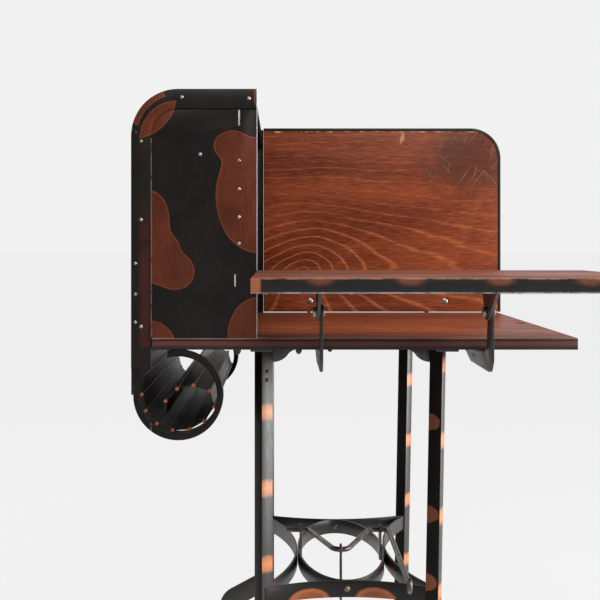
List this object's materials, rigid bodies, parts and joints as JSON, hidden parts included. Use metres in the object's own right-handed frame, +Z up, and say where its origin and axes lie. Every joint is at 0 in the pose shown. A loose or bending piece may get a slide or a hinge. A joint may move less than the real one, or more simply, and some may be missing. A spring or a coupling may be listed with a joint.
{
  "type": "cabinet table",
  "caption": "Old oak and japanned-steel cabinet table on an open angle-steel stand, with side leaves that fold level and a slatted roll curtain at the rear.",
  "frame": {"origin": "on the floor, under the middle of the whole outline with the near leaf level and the far leaf upright", "axes": "+X from the rear cabinet to the front edge, +Y from the near leaf to the far leaf, +Z up"},
  "size_m": [0.622, 0.973, 1.028],
  "materials": {
    "oak_top": "worn red-brown varnished oak",
    "oak_leaf": "red-brown varnished quarter-figured oak",
    "edge_steel": "black japan over copper-coloured flash, satin",
    "cabinet_steel": "black japan with large copper blotches, satin",
    "frame_steel": "black japan with copper bands, satin",
    "slat_steel": "black japan, copper rod ends",
    "bolt_steel": "darkened steel",
    "rod_steel": "black japan, worn",
    "caster_iron": "black",
    "wheel_iron": "worn tread"
  },
  "bodies": {
    "root": {"back_lining": "frame_steel", "cabinet_rivets": "cabinet_steel", "caster_sockets": "caster_iron", "coil_ring_far": "cabinet_steel", "coil_ring_near": "cabinet_steel", "crank_posts": "frame_steel", "far_front_bracket": "frame_steel", "far_rear_bracket": "frame_steel", "leaf_pivot_pins": "bolt_steel", "leg_far_front": "frame_steel", "leg_far_rear": "frame_steel", "leg_gussets": "frame_steel", "leg_near_front": "frame_steel", "leg_near_rear": "frame_steel", "near_front_bracket": "frame_steel", "near_rear_bracket": "frame_steel", "oval_ring": "frame_steel", "pull_rod_guide": "frame_steel", "rear_brace_far": "frame_steel", "rear_brace_near": "frame_steel", "side_plate_far": "cabinet_steel", "side_plate_near": "cabinet_steel", "side_stiffeners": "frame_steel", "stretcher_bolts": "bolt_steel", "stretcher_far": "frame_steel", "stretcher_front": "frame_steel", "stretcher_near": "frame_steel", "stretcher_rear": "frame_steel", "table_board": "oak_top", "table_edge_band": "edge_steel", "track_far": "cabinet_steel", "track_near": "cabinet_steel", "underframe_rails": "frame_steel"},
    "near_leaf": {"near_leaf_arms": "frame_steel", "near_leaf_board": "oak_leaf", "near_leaf_bolts": "bolt_steel", "near_leaf_edge": "edge_steel", "near_leaf_skin": "cabinet_steel"},
    "far_leaf": {"far_leaf_arms": "frame_steel", "far_leaf_board": "oak_leaf", "far_leaf_bolts": "bolt_steel", "far_leaf_edge": "edge_steel", "far_leaf_skin": "cabinet_steel"},
    "curtain_roof": {"curtain_roof_slats": "slat_steel", "curtain_lead_bar": "slat_steel"},
    "curtain_corner": {"curtain_corner_slats": "slat_steel"},
    "curtain_back": {"curtain_back_slats": "slat_steel"},
    "curtain_coil": {"curtain_coil_slats": "slat_steel"},
    "crank": {"crank_lever": "rod_steel"},
    "brake": {"pull_rod": "rod_steel", "brake_foot": "caster_iron"},
    "fork_far_front": {"caster_fork_far_front": "caster_iron"},
    "fork_far_rear": {"caster_fork_far_rear": "caster_iron"},
    "fork_near_front": {"caster_fork_near_front": "caster_iron"},
    "fork_near_rear": {"caster_fork_near_rear": "caster_iron"},
    "wheel_far_front": {"caster_wheel_far_front": "wheel_iron"},
    "wheel_far_rear": {"caster_wheel_far_rear": "wheel_iron"},
    "wheel_near_front": {"caster_wheel_near_front": "wheel_iron"},
    "wheel_near_rear": {"caster_wheel_near_rear": "wheel_iron"}
  },
  "joints": [
    {"name": "near_leaf_hinge", "type": "hinge", "parent": "root", "child": "near_leaf", "pos_m": [0, -0.17775, 0.7195], "axis": [-1, 0, 0], "range_deg": [0, 90]},
    {"name": "far_leaf_hinge", "type": "hinge", "parent": "root", "child": "far_leaf", "pos_m": [0, 0.47525, 0.7195], "axis": [-1, 0, 0], "range_deg": [0, 90]},
    {"name": "curtain_travel", "type": "slide", "parent": "root", "child": "curtain_roof", "axis": [1, 0, 0], "range_m": [0, 0.0232]},
    {"name": "curtain_corner_turn", "type": "hinge", "parent": "root", "child": "curtain_corner", "pos_m": [-0.246, 0.14875, 0.959], "axis": [0, 1, 0], "range_deg": [0, 26]},
    {"name": "curtain_back_rise", "type": "slide", "parent": "root", "child": "curtain_back", "axis": [0, 0, 1], "range_m": [0, 0.0234]},
    {"name": "curtain_coil_turn", "type": "hinge", "parent": "root", "child": "curtain_coil", "pos_m": [-0.246, 0.14875, 0.6013], "axis": [0, 1, 0], "range_deg": [0, 26]},
    {"name": "crank_press", "type": "hinge", "parent": "root", "child": "crank", "pos_m": [0, 0.14875, 0.342], "axis": [1, 0, 0], "range_deg": [0, 7]},
    {"name": "brake_drop", "type": "slide", "parent": "root", "child": "brake", "axis": [0, 0, -1], "range_m": [0, 0.0146]},
    {"name": "caster_swivel_near_rear", "type": "hinge", "parent": "root", "child": "fork_near_rear", "pos_m": [-0.206, -0.05625, 0.06], "axis": [0, 0, 1], "continuous": true},
    {"name": "wheel_spin_near_rear", "type": "hinge", "parent": "fork_near_rear", "child": "wheel_near_rear", "pos_m": [-0.22, -0.05625, 0.022], "axis": [0, 1, 0], "continuous": true},
    {"name": "caster_swivel_near_front", "type": "hinge", "parent": "root", "child": "fork_near_front", "pos_m": [0.114, -0.05765, 0.06], "axis": [0, 0, 1], "continuous": true},
    {"name": "wheel_spin_near_front", "type": "hinge", "parent": "fork_near_front", "child": "wheel_near_front", "pos_m": [0.1, -0.05765, 0.022], "axis": [0, 1, 0], "continuous": true},
    {"name": "caster_swivel_far_front", "type": "hinge", "parent": "root", "child": "fork_far_front", "pos_m": [0.114, 0.36275, 0.06], "axis": [0, 0, 1], "continuous": true},
    {"name": "wheel_spin_far_front", "type": "hinge", "parent": "fork_far_front", "child": "wheel_far_front", "pos_m": [0.1, 0.36275, 0.022], "axis": [0, 1, 0], "continuous": true},
    {"name": "caster_swivel_far_rear", "type": "hinge", "parent": "root", "child": "fork_far_rear", "pos_m": [-0.206, 0.36415, 0.06], "axis": [0, 0, 1], "continuous": true},
    {"name": "wheel_spin_far_rear", "type": "hinge", "parent": "fork_far_rear", "child": "wheel_far_rear", "pos_m": [-0.22, 0.36415, 0.022], "axis": [0, 1, 0], "continuous": true}
  ],
  "couplings": [
    {"joint": "curtain_corner_turn", "follows": "curtain_travel", "rad_per_m": 19.418},
    {"joint": "curtain_back_rise", "follows": "curtain_travel", "ratio": 1},
    {"joint": "curtain_coil_turn", "follows": "curtain_travel", "rad_per_m": 19.418},
    {"joint": "brake_drop", "follows": "crank_press", "m_per_rad": 0.1149}
  ]
}
